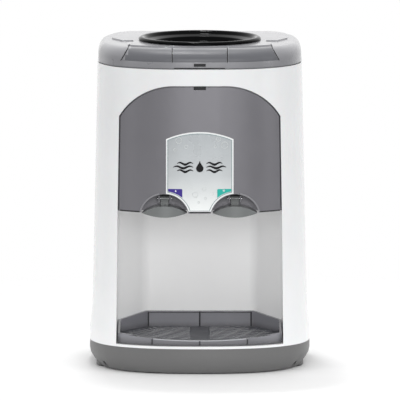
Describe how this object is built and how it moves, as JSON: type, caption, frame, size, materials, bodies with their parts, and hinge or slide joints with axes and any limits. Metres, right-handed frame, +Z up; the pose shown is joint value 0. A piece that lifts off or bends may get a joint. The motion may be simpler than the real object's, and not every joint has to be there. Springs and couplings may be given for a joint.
{
  "type": "countertop water dispenser",
  "caption": "Countertop water dispenser with a bottle seat on top, two press taps over a cup bay and a pull-out drip tray.",
  "frame": {"origin": "on the surface the feet stand on, under the middle of the outline", "axes": "+Z up, +Y to the back, +X to the right as seen from the front"},
  "size_m": [0.286, 0.26, 0.427],
  "materials": {
    "housing_white": "glossy moulded ABS",
    "panel_grey": "satin moulded ABS with a metallic fleck",
    "cover_grey": "satin moulded ABS",
    "base_grey": "satin moulded ABS",
    "lever_grey": "satin moulded ABS",
    "tray_grey": "smoked translucent plastic",
    "seat_black": "high gloss moulded plastic",
    "badge_silver": "domed silver label",
    "latch_black": "matt",
    "foot_rubber": "matt moulded rubber",
    "screw_steel": "zinc plated",
    "stainless": "drawn stainless steel",
    "valve_plastic": "moulded acetal",
    "seal_silicone": "moulded silicone",
    "inner_plastic": "moulded polypropylene",
    "foam_white": "expanded polystyrene beads",
    "aluminium": "extruded",
    "ceramic_white": "sintered ceramic",
    "fan_black": "glass-filled, matt",
    "board_green": "solder mask",
    "lead_black": "extruded PVC"
  },
  "bodies": {
    "body": {"base_pan": "base_grey", "foot_front_left": "foot_rubber", "foot_front_right": "foot_rubber", "foot_rear_left": "foot_rubber", "foot_rear_right": "foot_rubber", "base_screws": "screw_steel", "front_housing": "housing_white", "rear_cover": "housing_white", "rear_cover_screws": "screw_steel", "niche_liner": "housing_white", "bay_ceiling": "housing_white", "tray_well": "housing_white", "tap_panel": "panel_grey", "tap_recess_left": "panel_grey", "tap_recess_right": "panel_grey", "badge_plate": "badge_silver", "panel_latch": "latch_black", "lever_pin_left": "stainless", "lever_pin_right": "stainless", "tap_body_left": "valve_plastic", "tap_body_right": "valve_plastic", "valve_spring_left": "stainless", "valve_spring_right": "stainless", "tank_deck": "inner_plastic", "reservoir": "inner_plastic", "baffle_plate": "inner_plastic", "insulation_front": "foam_white", "insulation_rear": "foam_white", "cold_hose": "seal_silicone", "natural_hose": "seal_silicone", "temp_sensor": "stainless", "cold_block": "aluminium", "peltier_module": "ceramic_white", "heat_sink": "aluminium", "fan_frame": "fan_black", "fan_guard": "stainless", "fan_screws": "screw_steel", "power_board": "board_green", "power_inlet": "latch_black", "switch_bezel": "latch_black", "inlet_lead": "lead_black", "fan_lead": "lead_black", "sensor_lead": "lead_black"},
    "top_cover_body": {"top_cover": "cover_grey", "cover_latch": "latch_black"},
    "bottle_seat_body": {"bottle_seat": "seat_black", "bottle_probe": "seat_black", "seat_seal": "seal_silicone"},
    "left_lever": {"tap_lever_left": "lever_grey"},
    "right_lever": {"tap_lever_right": "lever_grey"},
    "left_valve": {"valve_stem_left": "valve_plastic", "valve_seal_left": "seal_silicone"},
    "right_valve": {"valve_stem_right": "valve_plastic", "valve_seal_right": "seal_silicone"},
    "tray": {"drip_tray": "tray_grey"},
    "grate": {"drip_grate": "tray_grey"},
    "fan": {"fan_rotor": "fan_black"},
    "rocker": {"power_switch": "latch_black"}
  },
  "joints": [
    {"name": "top_cover_lift", "type": "slide", "parent": "body", "child": "top_cover_body", "axis": [0, 0, 1], "range_m": [0, 0.06]},
    {"name": "bottle_seat_lift", "type": "slide", "parent": "top_cover_body", "child": "bottle_seat_body", "axis": [0, 0, 1], "range_m": [0, 0.09]},
    {"name": "left_tap_press", "type": "hinge", "parent": "body", "child": "left_lever", "pos_m": [-0.0453, -0.102, 0.226], "axis": [1, 0, 0], "range_deg": [0, 12], "stiffness_Nm_per_rad": 0.1, "springref_deg": -17.19},
    {"name": "left_valve_lift", "type": "slide", "parent": "body", "child": "left_valve", "axis": [0, 0, 1], "range_m": [0, 0.0067], "deforming": ["valve_spring_left"]},
    {"name": "right_tap_press", "type": "hinge", "parent": "body", "child": "right_lever", "pos_m": [0.0453, -0.102, 0.226], "axis": [1, 0, 0], "range_deg": [0, 12], "stiffness_Nm_per_rad": 0.1, "springref_deg": -17.19},
    {"name": "right_valve_lift", "type": "slide", "parent": "body", "child": "right_valve", "axis": [0, 0, 1], "range_m": [0, 0.0067], "deforming": ["valve_spring_right"]},
    {"name": "tray_pull", "type": "slide", "parent": "body", "child": "tray", "axis": [0, -0.8, 0.6], "range_m": [0, 0.15]},
    {"name": "grate_lift", "type": "slide", "parent": "tray", "child": "grate", "axis": [0, 0, 1], "range_m": [0, 0.04]},
    {"name": "fan_spin", "type": "hinge", "parent": "body", "child": "fan", "pos_m": [0, 0.11, 0.315], "axis": [0, 1, 0], "continuous": true},
    {"name": "switch_rock", "type": "hinge", "parent": "body", "child": "rocker", "pos_m": [0.035, 0.1215, 0.08], "axis": [1, 0, 0], "range_deg": [-20, 0]}
  ],
  "couplings": [
    {"joint": "left_valve_lift", "follows": "left_tap_press", "m_per_rad": 0.0318},
    {"joint": "right_valve_lift", "follows": "right_tap_press", "m_per_rad": 0.0318}
  ]
}
